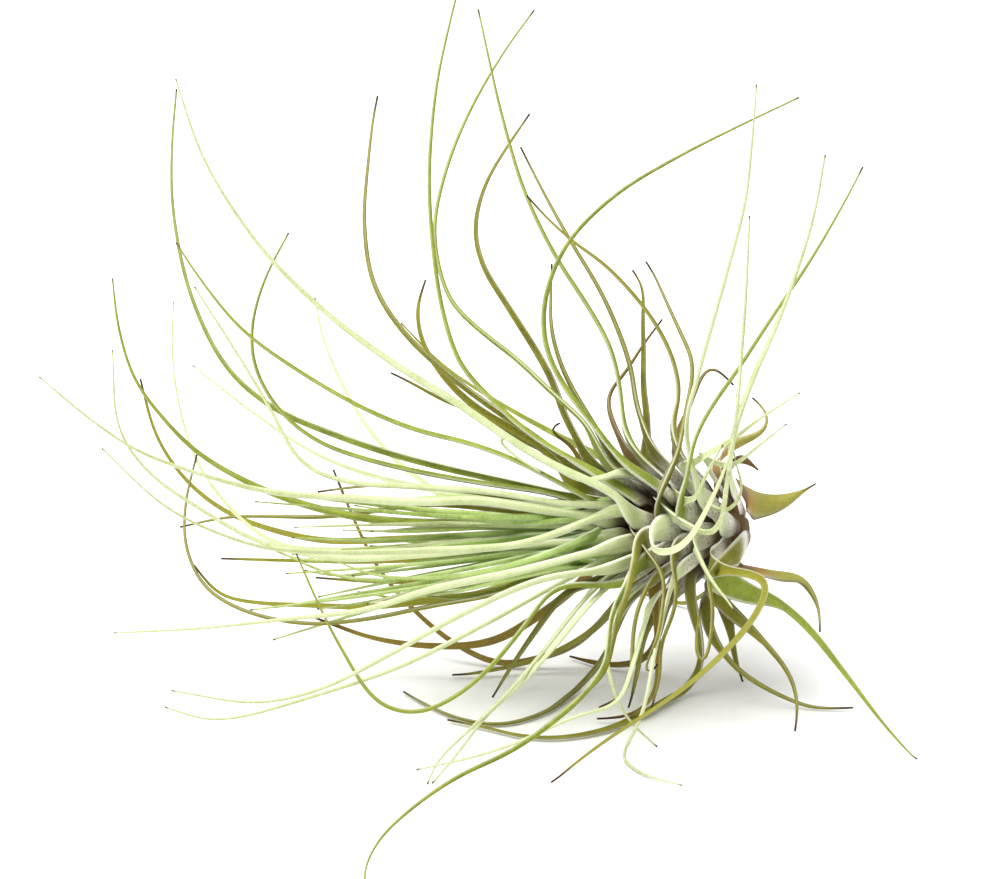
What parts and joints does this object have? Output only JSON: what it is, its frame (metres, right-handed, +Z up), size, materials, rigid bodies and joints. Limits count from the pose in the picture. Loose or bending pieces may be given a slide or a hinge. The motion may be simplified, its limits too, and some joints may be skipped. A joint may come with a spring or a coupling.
{
  "type": "air plant",
  "caption": "Thread-leaved air plant lying on its side: a short stem in overlapping silvery leaf bases, with long channelled leaves that fan out, curl and rest on the surface",
  "frame": {"origin": "middle of the footprint of the plant's bounding box, on the surface that it rests on", "axes": "+Z up; +X toward the old, dry end of the stem, so the crown and the fan of young leaves point to -X; +Y away from the viewer, along the plant's longest side"},
  "size_m": [0.1387, 0.1459, 0.1173],
  "materials": {
    "stem": "dry brown woody stem, rough",
    "leaf_green": "living leaf, green under fine silvery scales, satin",
    "leaf_olive": "living leaf, olive green under fine silvery scales, satin",
    "leaf_pale": "living leaf, pale grey-green with thick silvery scales, matt",
    "leaf_dry": "old leaf, dried to orange-brown, matt"
  },
  "bodies": {
    "root": {"stem": "stem", "tail_leaf_01": "leaf_dry", "tail_leaf_02": "leaf_olive", "tail_leaf_03": "leaf_green", "tail_leaf_04": "leaf_olive", "tail_leaf_05": "leaf_olive", "tail_leaf_06": "leaf_olive", "tail_leaf_07": "leaf_dry", "upper_leaf_01": "leaf_dry", "upper_leaf_02": "leaf_dry", "upper_leaf_03": "leaf_olive", "upper_leaf_04": "leaf_pale", "upper_leaf_05": "leaf_green", "upper_leaf_06": "leaf_pale", "upper_leaf_07": "leaf_olive", "upper_leaf_08": "leaf_olive", "upper_leaf_09": "leaf_green", "upper_leaf_10": "leaf_olive", "upper_leaf_11": "leaf_green", "upper_leaf_12": "leaf_olive", "upper_leaf_13": "leaf_green", "upper_leaf_14": "leaf_olive", "upper_leaf_15": "leaf_green", "upper_leaf_16": "leaf_olive", "upper_leaf_17": "leaf_olive", "upper_leaf_18": "leaf_olive", "fan_leaf_01": "leaf_green", "fan_leaf_02": "leaf_pale", "fan_leaf_03": "leaf_green", "fan_leaf_04": "leaf_green", "fan_leaf_05": "leaf_green", "fan_leaf_06": "leaf_olive", "fan_leaf_07": "leaf_pale", "fan_leaf_08": "leaf_pale", "fan_leaf_09": "leaf_olive", "fan_leaf_10": "leaf_olive", "fan_leaf_11": "leaf_olive", "fan_leaf_12": "leaf_dry", "fan_leaf_13": "leaf_dry", "fan_leaf_14": "leaf_olive", "fan_leaf_15": "leaf_pale", "fan_leaf_16": "leaf_pale", "fan_leaf_17": "leaf_pale", "fan_leaf_18": "leaf_pale", "fan_leaf_19": "leaf_green", "lower_leaf_01": "leaf_olive", "lower_leaf_02": "leaf_pale", "lower_leaf_03": "leaf_green", "lower_leaf_04": "leaf_olive", "lower_leaf_05": "leaf_olive", "lower_leaf_06": "leaf_olive", "lower_leaf_07": "leaf_dry", "lower_leaf_08": "leaf_olive", "lower_leaf_09": "leaf_pale", "front_leaf_01": "leaf_pale", "front_leaf_02": "leaf_olive", "front_leaf_03": "leaf_olive", "far_leaf_01": "leaf_green", "far_leaf_02": "leaf_olive", "far_leaf_03": "leaf_green"}
  },
  "joints": []
}
